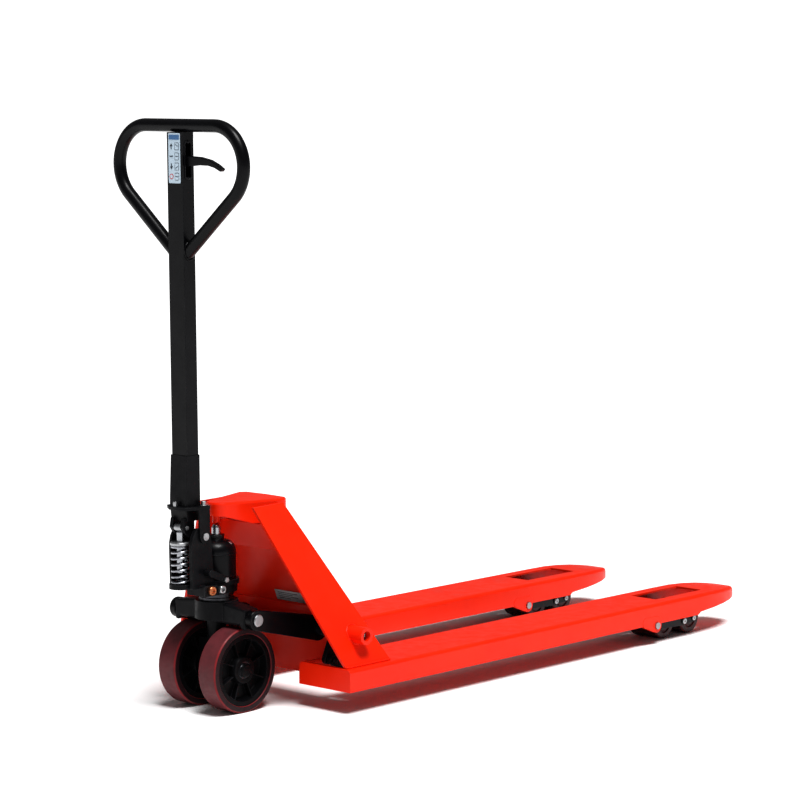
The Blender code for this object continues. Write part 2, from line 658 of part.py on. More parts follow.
def add_plunger(pivot):
    centre = (SPRING_X, 0)
    top = PRESS_ROLLER[1] - PRESS_ROLLER_RADIUS - 0.0009
    rod = [(0, 0.3000), (0.0080, 0.3000), (0.0080, top - 0.002), (0.0060, top), (0, top)]
    add("plunger", lathe(rod, "Z", centre, 20), "bright_steel", pivot)
    low = SPRING_Z[1] + GAP
    rim = SPRING_CAP_RADIUS
    high = low + 0.0075
    cap = [(0.0083, low), (rim, low), (rim, high - 0.002), (rim - 0.003, high), (0.0083, high)]
    add("spring_cap", lathe(cap, "Z", centre, 28), "zinc", pivot)


def add_spring(pivot):
    """A round-wire coil spring whose end turns lie flat."""
    low, high = SPRING_Z[0] + SPRING_WIRE_RADIUS, SPRING_Z[1] - SPRING_WIRE_RADIUS
    steps = 10
    count = round(SPRING_TURNS * steps)
    path, turns = [], []
    for i in range(count + 1):
        turn = i / steps
        share = min(1, max(0, (turn - 0.55) / (SPRING_TURNS - 1.10)))
        angle = 2 * math.pi * turn
        offset = Vector((math.cos(angle), math.sin(angle), 0))
        path.append(Vector((SPRING_X, 0, low + share * (high - low))) + SPRING_COIL_RADIUS * offset)
        turns.append(offset)
    shape = sweep(path, SPRING_WIRE_RADIUS, 5, lambda i: (turns[i], Vector((0, 0, 1))))
    add("pump_spring", shape, "spring_steel", pivot, smooth=80)


def add_release_arm(pivot):
    """The valve lever beside the pump, whose tip carries the adjusting screw over the lowering valve."""
    ends = ((*RELEASE_PIVOT, 0.0075), (*RELEASE_TIP, 0.0068))
    lever = add("release_arm", prism(round_link(*ends, steps=16), "Y", *RELEASE_Y), "cast_black", pivot)
    fuse(lever, cylinder("Y", RELEASE_PIVOT, 0.0060, RELEASE_Y[1] - 0.001, EAR_RIGHT_Y[0] - GAP, 16))
    screw = cylinder("Y", RELEASE_TIP, 0.0060, RELEASE_Y[0] - 0.0045, RELEASE_Y[0] - GAP, 6)
    add("release_screw", screw, "zinc", pivot)


# ---------------------------------------------------------------- tiller

def add_handle(handle):
    x, z = HANDLE_PIVOT
    half_x, half_y = POST_SIZE[0] / 2, POST_SIZE[1] / 2
    socket = []
    across_half = half_y + SOCKET_SKIN
    for height, flare in SOCKET_FLARE:
        rear, front = -half_x - flare, half_x + SOCKET_SKIN
        corners = ((rear, -across_half), (front, -across_half), (front, across_half), (rear, across_half))
        socket.append([(POST_X + across, along, height) for across, along in corners])
    base = add("handle_base", skin(socket), "cast_black", handle)
    cheek = [(-0.2320, 0.4150), (-0.2360, 0.3960), (-0.2290, 0.3850), (-0.2090, 0.3684), (-0.2025, 0.3646)]
    cheek += [(-0.1950, 0.3620), (-0.1840, 0.3680), (-0.1815, 0.3800), (-0.1900, 0.3890), (-0.2030, 0.3910)]
    cheek += [(-0.2030, 0.4150)]
    for wall in (-1, 1):
        fuse(base, prism(cheek, "Y", *sorted((wall * 0.0115, wall * 0.0200))))
    fuse(base, cylinder("Y", HANDLE_PIVOT, 0.0125, -0.0225, 0.0225, 20))
    left, right = CLEVIS_LEFT_Y[1], CLEVIS_RIGHT_Y[0]
    flange = [(-0.2440, -0.0120), (-0.2360, -0.0300), (-0.2140, right), (-0.1800, right)]
    flange += [(-0.1800, left), (-0.2280, left), (-0.2440, 0.0120)]
    fuse(base, prism(flange, "Z", *FLANGE_Z))
    tip = FLANGE_Z[1] - 0.001
    arm = convex([*round_link((*HANDLE_PIVOT, 0.0140)), (-0.2120, tip), (-0.1815, tip)])
    fuse(base, prism(arm, "Y", *CLEVIS_LEFT_Y), prism(arm, "Y", *CLEVIS_RIGHT_Y))
    hollow = box(
        (POST_X - half_x - GAP, -half_y - GAP, POST_FOOT - GAP), (POST_X + half_x + GAP, half_y + GAP, 0.60)
    )
    passage = box((POST_X - 0.010, -0.0110, 0.40), (POST_X + 0.010, 0.0110, 0.50))
    cut(base, hollow, passage)
    cut(base, cylinder("Y", HANDLE_PIVOT, 0.0080 + GAP, -0.1, 0.1, 20))
    cut(base, cylinder("Y", PRESS_ROLLER, 0.0045 + GAP, -0.1, 0.1, 16))
    profile = [(0, -0.0225), (0.0045, -0.0225), (0.0045, -0.0110), (PRESS_ROLLER_RADIUS, -0.0110)]
    profile += [(radius, -along) for radius, along in reversed(profile)]
    add("pressure_roller", lathe(profile, "Y", PRESS_ROLLER, 24), "zinc", handle)
    add_post(handle, half_x, half_y)
    add_loop(handle, half_y)
    bolt = cylinder("Z", SOCKET_BOLT, 0.0052, FLANGE_Z[1] + GAP, FLANGE_Z[1] + 0.0105, 6)
    add("socket_bolt", bolt, "zinc", handle)


def add_post(handle, half_x, half_y):
    top = LOOP_TOP - LOOP_TUBE - GAP
    tube = box((POST_X - half_x, -half_y, POST_FOOT), (POST_X + half_x, half_y, top))
    post = add("handle_post", tube, "black_enamel", handle)
    inner_x, inner_y = half_x - POST_WALL, half_y - POST_WALL
    cut(post, box((POST_X - inner_x, -inner_y, POST_FOOT - 0.01), (POST_X + inner_x, inner_y, top - 0.004)))
    slot = box((POST_X - 0.0075, -half_y - 0.01, SLOT_Z[0]), (POST_X + 0.0075, -half_y + 0.01, SLOT_Z[1]))
    cut(post, slot)
    face = POST_X - half_x - GAP
    add("handle_label", box((face - 0.0006, -0.0180, 1.1045), (face, 0.0180, 1.2070)), "label_film", handle)


def add_loop(handle, half_y):
    """The closed grip: a top bar, two wide bends and two legs that meet the post."""
    arc_z = LOOP_TOP - LOOP_ARC_RADIUS
    leg = Vector((math.sin(LOOP_LEG_ANGLE), math.cos(LOOP_LEG_ANGLE)))
    start = Vector((LOOP_ARC_Y, arc_z)) + LOOP_ARC_RADIUS * Vector((leg.y, -leg.x))
    foot = start - leg * (start.x - half_y - GAP) / leg.x
    # Each station: its point across and up, then the outward direction that spans its section.
    stations = [(foot, Vector((0, -1 / leg.x)))]
    for i in range(LOOP_STEPS + 1):
        angle = -LOOP_LEG_ANGLE + (math.pi / 2 + LOOP_LEG_ANGLE) * i / LOOP_STEPS
        outward = Vector((math.cos(angle), math.sin(angle)))
        stations.append((Vector((LOOP_ARC_Y, arc_z)) + LOOP_ARC_RADIUS * outward, outward))
    mirrored = [(Vector((-point.x, point.y)), Vector((-out.x, out.y))) for point, out in stations]
    stations += reversed(mirrored)
    path = [Vector((POST_X, point.x, point.y)) for point, _ in stations]

    def section(i):
        outward = stations[i][1]
        return Vector((1, 0, 0)), Vector((0, outward.x, outward.y))

    add("handle_loop", sweep(path, LOOP_TUBE, 12, section), "black_enamel", handle, smooth=50)


def add_control_lever(pivot):
    z = LEVER_PIVOT_Z
    upper = [(0.010, z + 0.010), (-0.024, z + 0.0125), (-0.060, z + 0.0110), (-0.090, z + 0.0055)]
    upper += [(-0.112, z - 0.0035), (-0.127, z - 0.0125)]
    lower = [(-0.121, z - 0.0180), (-0.104, z - 0.0105), (-0.086, z - 0.0065), (-0.060, z - 0.0060)]
    lower += [(-0.024, z - 0.0095), (0.010, z - 0.0100)]
    blade = prism(upper + lower, "X", POST_X - 0.0060, POST_X + 0.0060)
    lever = add("control_lever", blade, "black_enamel", pivot, bevel=0.0015)
    cut(lever, cylinder("X", (0, z), 0.0035 + GAP, POST_X - 0.02, POST_X + 0.02, 16))
    reach = POST_SIZE[0] / 2 - POST_WALL - GAP
    pin = cylinder("X", (0, z), 0.0035, POST_X - reach, POST_X + reach, 16)
    add("lever_pin", pin, "zinc", pivot)


def build():
    clear_scene()
    for name in MATERIALS:
        make_material(name)
    base = make_pivot("base", (STEER_X, 0, 0))
    chassis = make_pivot("chassis", (0, 0, FORK_TOP), base)
    rocker = make_pivot("rocker", (SHAFT[0], 0, SHAFT[1]), chassis)
    add_base(base)
    add_chassis(chassis)
    add_rocker(rocker)
    for side, sign in SIDES:
        start = CRANK_PIN
        add_push_rod(side, sign, make_pivot(f"rod_{side}", (start[0], sign * FORK_Y, start[1]), rocker))
        frame = make_pivot(f"frame_{side}", (EAR_PIN[0], sign * FORK_Y, EAR_PIN[1]), chassis)
        bogie = make_pivot(f"bogie_pivot_{side}", (ARM_TIP[0], sign * FORK_Y, ARM_TIP[1]), frame)
        add_wheel_frame(side, sign, frame)
        add_bogie(side, sign, bogie)
        for end, step in (("inner", -1), ("outer", 1)):
            centre = (ARM_TIP[0] + step * ROLLER_HALF_PITCH, ROLLER_RADIUS)
            spin = make_pivot(f"roller_{side}_{end}", (centre[0], sign * FORK_Y, centre[1]), bogie)
            add_load_roller(side, sign, end, centre, spin)
    steer = make_pivot("steer", (STEER_X, 0, PUMP_FLOOR), base)
    add_steering(steer)
    for side, sign in SIDES:
        place = (STEER_X, sign * WHEEL_Y, WHEEL_RADIUS)
        add_steer_wheel(side, sign, make_pivot(f"wheel_{side}", place, steer))
    ram = make_pivot("ram", (STEER_X, 0, RAM_Z[0]), steer)
    dome = arc((0, RAM_Z[1] - RAM_RADIUS * 0.9), RAM_RADIUS * 0.9, math.radians(20), math.pi / 2, 4)
    profile = [(0, RAM_Z[0]), (RAM_RADIUS, RAM_Z[0]), (RAM_RADIUS, RAM_Z[1] - 0.009)]
    profile += [*dome[:-1], (0, RAM_Z[1])]
    add("lift_ram", lathe(profile, "Z", (STEER_X, 0), 24), "bright_steel", ram)
    plunger = make_pivot("plunger_guide", (SPRING_X, 0, SPRING_Z[1]), steer)
    add_plunger(plunger)
    add_spring(make_pivot("spring_seat", (SPRING_X, 0, SPRING_Z[0]), steer))
    add_release_arm(make_pivot("release", (RELEASE_PIVOT[0], 0, RELEASE_PIVOT[1]), steer))
    handle = make_pivot("handle", (HANDLE_PIVOT[0], 0, HANDLE_PIVOT[1]), steer, HANDLE_LEAN)
    add_handle(handle)
    add_control_lever(make_pivot("lever", (POST_X, 0, LEVER_PIVOT_Z), handle))


build()
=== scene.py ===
"""Looks for the hand pallet jack: finished surfaces, fittings and procedural materials.

Everything is in metres in the row frame. HEEL is the plane of the forks' heels, and positions along
the machine are given from it.
"""

import json
import math

import bmesh
import bpy
from mathutils import Matrix, Vector


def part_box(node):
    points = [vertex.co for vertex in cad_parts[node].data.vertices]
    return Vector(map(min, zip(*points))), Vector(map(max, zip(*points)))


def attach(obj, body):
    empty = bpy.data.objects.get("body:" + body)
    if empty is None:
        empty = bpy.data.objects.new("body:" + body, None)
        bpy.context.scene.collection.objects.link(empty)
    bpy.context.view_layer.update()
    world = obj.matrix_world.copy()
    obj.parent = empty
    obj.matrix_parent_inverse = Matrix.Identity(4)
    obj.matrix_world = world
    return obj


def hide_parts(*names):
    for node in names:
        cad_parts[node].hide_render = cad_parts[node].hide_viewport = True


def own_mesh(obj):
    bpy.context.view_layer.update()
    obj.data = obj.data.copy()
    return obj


SIDES = (("left", 1), ("right", -1))

# Camera: place, heading and downward pitch in radians, and lens on a 36 mm sensor.
CAMERA_PLACE = (-4.9172, -4.3765, 1.3258)
CAMERA_YAW = 0.7404
CAMERA_PITCH = 0.1108
CAMERA_LENS = 131.85

# Studio
SKY_LIGHT = 0.17
SUN_POWER = 3.45
SUN_FROM = (-0.14, -0.34, 0.91)
SUN_SPREAD = math.radians(24)
FLOOR_HALF = 40.0

# Wheels
WHEEL_CREASE = 0.0027
TYRE_DEPTH = 0.014
HUB_RIBS = 8
RIB_THICKNESS = 0.0022
ROLLER_EDGE = 0.0030

# Forks and linkage, in the plane of the side view
FORK_Y = 0.196
EAR_PIN = (1.043, 0.045)
ROLLER_ARM_TIP = (1.165, 0.0382)
ROLLER_HALF_PITCH = 0.049

# Braces: where the outer face meets the fork, how it leans in with height, and their welds
BRACE_FOOT = (0.254, 0.0976)
BRACE_LEAN = 0.5225
BRACE_WELD_X = (0.007, 0.139)
BRACE_WELD_Z = 0.0985
BOSS_WELD_RADIUS = 0.0196

# Pump and its spring
SEAM_LEVELS = ((0.2835, "low"), (0.3300, "high"))
DECK_BOLTS = ((-0.176, 0.0155), (-0.176, -0.020), (-0.195, 0.0155), (-0.195, -0.0200))
SPRING_WIRE = 0.0027
SPRING_COIL = 0.0178
SPRING_TURNS = 7.0
SPRING_FLAT_TURN = 0.55

# Tiller
LOOP_TUBE = 0.0135
LOOP_ARC_RADIUS = 0.0815
LOOP_ARC_Y = 0.102
LOOP_TOP = 1.2222
LOOP_LEG_ANGLE = math.radians(49.5)
HANDLE_LEAN = math.radians(0.656)
HANDLE_PIVOT = (-0.195, 0.376)
POST_X = -0.2068
POST_HALF = (0.016, 0.02275)
SLOT_MIDDLE = 1.152
SLOT_RIVETS = (("top", 1.1890), ("bottom", 1.1150))
LABEL_ROW_PITCH = 0.0205
FLANGE_BOLT = (-0.190, -0.0345, 0.4397)

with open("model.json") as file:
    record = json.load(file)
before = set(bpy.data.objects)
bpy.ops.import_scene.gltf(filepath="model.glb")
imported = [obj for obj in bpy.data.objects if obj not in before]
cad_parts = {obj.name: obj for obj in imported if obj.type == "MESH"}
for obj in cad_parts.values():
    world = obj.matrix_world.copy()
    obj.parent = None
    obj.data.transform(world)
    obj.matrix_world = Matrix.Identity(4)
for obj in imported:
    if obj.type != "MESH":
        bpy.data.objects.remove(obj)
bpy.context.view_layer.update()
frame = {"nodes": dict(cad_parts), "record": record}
nodes = frame["nodes"]
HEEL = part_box("fork_left")[0].x
body_of_node = {}
for body_name, members in frame["record"]["behaviour"]["bodies"].items():
    for member in members:
        body_of_node[member] = body_name


# ---------------------------------------------------------------- materials

def new_material(name):
    material = bpy.data.materials.new(name)
    material.use_nodes = True
    tree = material.node_tree
    return material, tree, tree.nodes["Principled BSDF"]


def node(tree, kind, inputs=None, **settings):
    """A shader node with its settings, and inputs given as values or as sockets to link."""
    made = tree.nodes.new(kind)
    for key, value in settings.items():
        setattr(made, key, value)
    for key, value in (inputs or {}).items():
        if isinstance(value, bpy.types.NodeSocket):
            tree.links.new(value, made.inputs[key])
        else:
            made.inputs[key].default_value = value
    return made


def ramp(tree, factor, stops):
    made = node(tree, "ShaderNodeValToRGB", {"Fac": factor})
    elements = made.color_ramp.elements
    while len(elements) < len(stops):
        elements.new(0.5)
    for element, (place, colour) in zip(elements, stops):
        element.position = place
        element.color = (*colour, 1) if len(colour) == 3 else colour
    return made.outputs["Color"]


def grey(value):
    return (value, value, value)


def spread(tree, source, level, low, high):
    """A roughness that wanders between two shares of its level."""
    return ramp(tree, source, [(0.3, grey(level * low)), (0.7, grey(level * high))])


def noise(tree, scale, detail=4.0, roughness=0.55, stretch=None):
    coordinates = tree.nodes.get("object_coordinates")
    if coordinates is None:
        coordinates = node(tree, "ShaderNodeTexCoord", name="object_coordinates")
    place = coordinates.outputs["Object"]
    if stretch:
        place = node(tree, "ShaderNodeMapping", {"Vector": place, "Scale": stretch}).outputs["Vector"]
    inputs = {"Vector": place, "Scale": scale, "Detail": detail, "Roughness": roughness}
    return node(tree, "ShaderNodeTexNoise", inputs).outputs["Fac"]


def mix(tree, factor, first, second):
    made = tree.nodes.new("ShaderNodeMix")
    made.data_type = "RGBA"
    for index, value in ((0, factor), (6, first), (7, second)):
        if isinstance(value, bpy.types.NodeSocket):
            tree.links.new(value, made.inputs[index])
        else:
            made.inputs[index].default_value = value if index == 0 else (*value, 1)
    return made.outputs[2]


def edge_mask(tree, radius, low, high):
    """White along edges that stand within a radius, from the angle between the true and rounded normals."""
    rounded = node(tree, "ShaderNodeBevel", {"Radius": radius}, samples=4).outputs["Normal"]
    true_normal = node(tree, "ShaderNodeNewGeometry").outputs["Normal"]
    inputs = {0: rounded, 1: true_normal}
    product = node(tree, "ShaderNodeVectorMath", inputs, operation="DOT_PRODUCT").outputs["Value"]
    limits = {"Value": product, "From Min": high, "From Max": low, "To Min": 0.0, "To Max": 1.0}
    return node(tree, "ShaderNodeMapRange", limits).outputs["Result"]


def bumped(tree, shader, layers, round_edges=0.0):
    """Chain bump layers, each (height, strength, distance), into the shader's normal."""
    normal = None
    if round_edges:
        normal = node(tree, "ShaderNodeBevel", {"Radius": round_edges}, samples=4).outputs["Normal"]
    for height, strength, distance in layers:
        inputs = {"Height": height, "Strength": strength, "Distance": distance}
        if normal is not None:
            inputs["Normal"] = normal
        normal = node(tree, "ShaderNodeBump", inputs).outputs["Normal"]
    tree.links.new(normal, shader.inputs["Normal"])


def multiply(tree, first, second):
    return node(tree, "ShaderNodeMath", {0: first, 1: second}, operation="MULTIPLY").outputs["Value"]


def paint(name, colour, deep, worn, roughness, coat, wear, scratches, gloss=0.5, peel=0.05):
    """Sprayed paint: orange peel, slow tone changes, fine scuffs and worn edges."""
    material, tree, shader = new_material(name)
    tone = ramp(tree, noise(tree, 6.0), [(0.32, deep), (0.68, colour)])
    scuffs = ramp(tree, noise(tree, 55.0, 8.0, 0.7, (1.0, 1.0, 6.0)), [(0.60, grey(0)), (0.74, grey(1))])
    patches = ramp(tree, noise(tree, 9.0, 6.0, 0.6), [(0.45, grey(0)), (0.65, grey(1))])
    edges = multiply(tree, edge_mask(tree, 0.0022, 0.86, 0.985), patches)
    tone = mix(tree, multiply(tree, edges, wear), tone, worn)
    tone = mix(tree, multiply(tree, multiply(tree, scuffs, patches), scratches), tone, worn)
    tree.links.new(tone, shader.inputs["Base Color"])
    uneven = spread(tree, noise(tree, 30.0, 6.0), roughness, 0.82, 1.25)
    tree.links.new(uneven, shader.inputs["Roughness"])
    shader.inputs["Specular IOR Level"].default_value = gloss
    shader.inputs["Coat Weight"].default_value = coat
    shader.inputs["Coat Roughness"].default_value = 0.12
    layers = [(noise(tree, 420.0, 2.0), peel, 0.0006), (noise(tree, 40.0, 3.0), 0.04, 0.002)]
    bumped(tree, shader, layers, 0.0009)
    return material


def casting(name, colour, worn, roughness, gloss=0.28):
    """Painted sand casting: pebbled skin with soft sheen and rubbed corners."""
    material, tree, shader = new_material(name)
    dim, light = [c * 0.7 for c in colour], [c * 1.3 for c in colour]
    tone = ramp(tree, noise(tree, 14.0), [(0.3, dim), (0.7, light)])
    patches = ramp(tree, noise(tree, 16.0, 6.0), [(0.45, grey(0)), (0.62, grey(1))])
    rubbed = multiply(tree, edge_mask(tree, 0.0030, 0.84, 0.98), patches)
    tone = mix(tree, multiply(tree, rubbed, 0.55), tone, worn)
    tree.links.new(tone, shader.inputs["Base Color"])
    uneven = spread(tree, noise(tree, 60.0, 6.0), roughness, 0.8, 1.3)
    tree.links.new(uneven, shader.inputs["Roughness"])
    shader.inputs["Specular IOR Level"].default_value = gloss
    layers = [(noise(tree, 320.0, 4.0), 0.22, 0.0010), (noise(tree, 45.0, 3.0), 0.16, 0.0025)]
    bumped(tree, shader, layers, 0.0014)
    return material


def metal(name, colour, shade, roughness, stretch=(1.0, 1.0, 1.0), grain=0.06):
    """Bare or plated metal with a fine grain and a slow change of tarnish."""
    material, tree, shader = new_material(name)
    tone = ramp(tree, noise(tree, 35.0, 6.0), [(0.3, shade), (0.65, colour)])
    tree.links.new(tone, shader.inputs["Base Color"])
    uneven = spread(tree, noise(tree, 120.0, 6.0, 0.6, stretch), roughness, 0.7, 1.5)
    tree.links.new(uneven, shader.inputs["Roughness"])
    shader.inputs["Metallic"].default_value = 1.0
    bumped(tree, shader, [(noise(tree, 260.0, 4.0, 0.6, stretch), grain, 0.0006)], 0.0006)
    return material


def wheel_polymer(name, face, painted_highlight, tread, roughness):
    """Cast polyurethane. The tone follows the side the surface faces: tread, chamfer or flat side, and the
    chamfer band carries a painted highlight.
    """
    material, tree, shader = new_material(name)
    facing = node(tree, "ShaderNodeTexCoord").outputs["Normal"]
    across = node(tree, "ShaderNodeSeparateXYZ", {"Vector": facing}).outputs["Y"]
    across = node(tree, "ShaderNodeMath", {0: across}, operation="ABSOLUTE").outputs["Value"]
    # Painted highlight: surfaces facing part way sideways, the chamfer band, take a lighter colour than the
    # tread and the flat side.
    tone = ramp(tree, across, [(0.15, tread), (0.42, painted_highlight), (0.86, painted_highlight), (0.97, face)])
    grime = ramp(tree, noise(tree, 38.0, 8.0, 0.65), [(0.42, grey(0)), (0.68, grey(1))])
    tone = mix(tree, multiply(tree, grime, 0.35), tone, [c * 0.55 + 0.012 for c in face])
    tree.links.new(tone, shader.inputs["Base Color"])
    uneven = spread(tree, noise(tree, 90.0, 6.0), roughness, 0.8, 1.3)
    tree.links.new(uneven, shader.inputs["Roughness"])
    shader.inputs["Specular IOR Level"].default_value = 0.25
    layers = [(noise(tree, 500.0, 3.0), 0.10, 0.0005), (noise(tree, 70.0, 4.0), 0.08, 0.0012)]
    bumped(tree, shader, layers)
    return material


def plastic(name, colour, shade, roughness, peel=0.05):
    """Printed film and ink: an even tone with a faint skin."""
    material, tree, shader = new_material(name)
    tone = ramp(tree, noise(tree, 22.0), [(0.3, shade), (0.7, colour)])
    tree.links.new(tone, shader.inputs["Base Color"])
    uneven = spread(tree, noise(tree, 80.0, 5.0), roughness, 0.8, 1.2)
    tree.links.new(uneven, shader.inputs["Roughness"])
    bumped(tree, shader, [(noise(tree, 600.0, 2.0), peel, 0.0004)])
    return material


def make_looks():
    return {
        "red_paint": paint("red_paint_look", (0.90, 0.026, 0.003), (0.80, 0.020, 0.002), (0.45, 0.03, 0.02),
                           0.36, 0.05, 0.20, 0.03, gloss=0.20),
        "black_enamel": paint("black_enamel_look", (0.0030, 0.0030, 0.0042), (0.0018, 0.0018, 0.0026),
                              (0.07, 0.07, 0.08), 0.34, 0.04, 0.30, 0.08, gloss=0.17),
        "cast_black": casting("cast_black_look", (0.0040, 0.0040, 0.0052), (0.06, 0.06, 0.065),
                              0.42, gloss=0.16),
        "dark_steel": metal("dark_steel_look", (0.10, 0.10, 0.11), (0.05, 0.05, 0.055), 0.38),
        "zinc": metal("zinc_look", (0.46, 0.47, 0.48), (0.34, 0.34, 0.35), 0.34),
        "bright_steel": metal("bright_steel_look", (0.46, 0.47, 0.49), (0.36, 0.37, 0.39),
                              0.24, (1.0, 1.0, 8.0)),
        "spring_steel": metal("spring_steel_look", (0.46, 0.47, 0.50), (0.32, 0.33, 0.36),
                              0.28, (1.0, 1.0, 5.0)),
        # The third colour of each wheel look is the painted highlight on the chamfer band.
        "polyurethane": wheel_polymer("polyurethane_look", (0.020, 0.006, 0.008), (0.22, 0.015, 0.019),
                                      (0.125, 0.026, 0.031), 0.46),
        "roller_tread": wheel_polymer("roller_tread_look", (0.050, 0.018, 0.020), (0.10, 0.020, 0.022),
                                      (0.038, 0.016, 0.018), 0.38),
        "copper": metal("copper_look", (0.62, 0.24, 0.11), (0.42, 0.15, 0.07), 0.34),
        "label_film": plastic("label_film_look", (0.56, 0.68, 0.78), (0.50, 0.62, 0.73), 0.35),
        "data_plate": metal("data_plate_look", (0.50, 0.50, 0.51), (0.40, 0.40, 0.41),
                            0.36, (8.0, 1.0, 1.0)),
    }


looks = make_looks()
ink = plastic("ink_look", (0.030, 0.042, 0.060), (0.024, 0.034, 0.050), 0.45)
ink_blue = plastic("ink_blue_look", (0.060, 0.16, 0.34), (0.05, 0.14, 0.30), 0.4)
ink_red = plastic("ink_red_look", (0.55, 0.04, 0.04), (0.50, 0.035, 0.035), 0.4)
hub_black = casting("hub_black_look", (0.0040, 0.0040, 0.0048), (0.04, 0.04, 0.045), 0.36, gloss=0.10)


# ---------------------------------------------------------------- shapes

def at(x, y, z):
    """A point from its distance behind the forks' heels, its side and its height."""
    return Vector((HEEL + x, y, z))


def finish_piece(name, shape, material, body, bevel=0.0, segments=3, sharp=38):
    """Turn a bmesh into a piece with rounded edges that rides on a body."""
    bmesh.ops.recalc_face_normals(shape, faces=shape.faces)
    mesh = bpy.data.meshes.new(name)
    shape.to_mesh(mesh)
    shape.free()
    mesh.shade_smooth()
    mesh.set_sharp_from_angle(angle=math.radians(sharp))
    mesh.materials.append(material)
    piece = bpy.data.objects.new(name, mesh)
    bpy.context.scene.collection.objects.link(piece)
    if bevel:
        rounding = piece.modifiers.new("rounding", "BEVEL")
        rounding.width = bevel
        rounding.segments = segments
        rounding.limit_method = "ANGLE"
        rounding.angle_limit = math.radians(sharp)
        rounding.miter_outer = "MITER_ARC"
        rounding.use_clamp_overlap = True
        piece.modifiers.new("normals", "WEIGHTED_NORMAL").keep_sharp = True
    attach(piece, body)
    return piece


def slot_of(node_name):
    """The material slot that the record gives a node."""
    return next(s["material_slot"] for s in frame["record"]["subparts"] if s["node"] == node_name)


def refine(node_name, bevel, segments=2, look=None, sharp=38):
    """A finished copy of a CAD node: the same shape with its edges rounded over."""
    shape = bmesh.new()
    shape.from_mesh(nodes[node_name].data)
    bmesh.ops.remove_doubles(shape, verts=shape.verts, dist=1e-6)
    bmesh.ops.dissolve_limit(
        shape, angle_limit=math.radians(0.6), verts=shape.verts, edges=shape.edges,
        use_dissolve_boundaries=False,
    )
    slot = slot_of(node_name)
    body = body_of_node[node_name]
    look = look or looks[slot]
    piece = finish_piece(f"{node_name}_finish", shape, look, body, bevel, segments, sharp)
    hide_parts(node_name)


def frame_of(axis):
    """Two unit vectors across an axis."""
    axis = Vector(axis).normalized()
    helper = Vector((0, 0, 1)) if abs(axis.z) < 0.9 else Vector((1, 0, 0))
    first = helper.cross(axis).normalized()
    return first, axis.cross(first)


def lathe(profile, centre, axis, steps):
    """Turn (radius, along) points round an axis through a centre."""
    shape = bmesh.new()
    axis = Vector(axis).normalized()
    first, second = frame_of(axis)
    rings = []
    for radius, along in profile:
        turns = 1 if radius == 0 else steps
        ring = []
        for i in range(turns):
            angle = 2 * math.pi * i / steps
            across = first * math.cos(angle) + second * math.sin(angle)
            ring.append(shape.verts.new(Vector(centre) + axis * along + across * radius))
        rings.append(ring)
    pairs = list(zip(rings, rings[1:]))
    if profile[0][0] != 0:
        pairs.append((rings[-1], rings[0]))
    for low, high in pairs:
        for i in range(steps):
            j = (i + 1) % steps
            corners = [low[i % len(low)], low[j % len(low)], high[j % len(high)], high[i % len(high)]]
            shape.faces.new(list(dict.fromkeys(corners)))
    return shape


def fillet(profile, radius, indices, steps=4):
    """Round the corners of a profile at the given indices."""
    result = []
    for i, point in enumerate(profile):
        if i not in indices:
            result.append(point)
            continue
        here = Vector(point)
        before = (Vector(profile[i - 1]) - here).normalized()
        after = (Vector(profile[(i + 1) % len(profile)]) - here).normalized()
        half = before.angle(after) / 2
        reach = radius / math.tan(half)
        start, end = here + before * reach, here + after * reach
        for k in range(steps + 1):
            t = k / steps
            result.append(tuple(start * (1 - t) ** 2 + here * 2 * t * (1 - t) + end * t * t))
    return result


def prism(outline, origin, u, v):
    """A plate: an outline in the plane of u and v, raised along their cross product by its own height."""
    shape = bmesh.new()
    u, v = Vector(u), Vector(v)
    normal = u.cross(v)
    points, height = outline
    loops = []
    for lift in (0, height):
        loops.append([shape.verts.new(Vector(origin) + u * a + v * b + normal * lift) for a, b in points])
    shape.faces.new(list(reversed(loops[0])))
    shape.faces.new(loops[1])
    for i in range(len(points)):
        j = (i + 1) % len(points)
        shape.faces.new((loops[0][i], loops[0][j], loops[1][j], loops[1][i]))
    return shape


def rounded_box_outline(width, height, corner, steps=4):
    points = []
    for cx, cy, start in ((1, 1, 0), (-1, 1, 90), (-1, -1, 180), (1, -1, 270)):
        for k in range(steps + 1):
            angle = math.radians(start + 90 * k / steps)
            x = cx * (width / 2 - corner) + corner * math.cos(angle)
            y = cy * (height / 2 - corner) + corner * math.sin(angle)
            points.append((x, y))
    return points


def sweep(path, radius_at, sides):
    """A round bar through a path of points, its radius given along the path."""
    shape = bmesh.new()
    rings = []
    previous = None
    for i, point in enumerate(path):
        ahead = (path[min(i + 1, len(path) - 1)] - path[max(i - 1, 0)]).normalized()
        if previous is None:
            first = frame_of(ahead)[0]
        else:
            first = (previous - ahead * previous.dot(ahead)).normalized()
        previous = first
        second = ahead.cross(first)
        ring = []
        for k in range(sides):
            angle = 2 * math.pi * k / sides
            across = first * math.cos(angle) + second * math.sin(angle)
            ring.append(shape.verts.new(point + radius_at(i) * across))
        rings.append(ring)
    for low, high in zip(rings, rings[1:]):
        for k in range(sides):
            j = (k + 1) % sides
            shape.faces.new((low[k], low[j], high[j], high[k]))
    shape.faces.new(list(reversed(rings[0])))
    shape.faces.new(rings[-1])
    return shape


def join(target, other):
    """Add the faces of another shape to a shape."""
    mesh = bpy.data.meshes.new("joined")
    other.to_mesh(mesh)
    other.free()
    target.from_mesh(mesh)
    bpy.data.meshes.remove(mesh)


def seam_line(start, end):
    """Points along a straight seam, one for each step of the weld."""
    count = max(8, round((end - start).length / 0.0011))
    return [start.lerp(end, i / count) for i in range(count + 1)]


def weld_bead(name, line, radius, body, slot="red_paint", closed=False):
    """A bead of overlapping weld ripples along a line of points. An open one tapers at its ends."""
    ends = len(line) - 1

    def radius_at(i):
        taper = 0.55 if i in (0, ends) and not closed else 1.0
        return radius * taper * (0.86 + 0.14 * abs(math.sin(i * 0.9)) + 0.03 * math.sin(i * 0.37))

    shape = sweep(line, radius_at, 10)
    return finish_piece(name, shape, looks[slot], body, sharp=60)


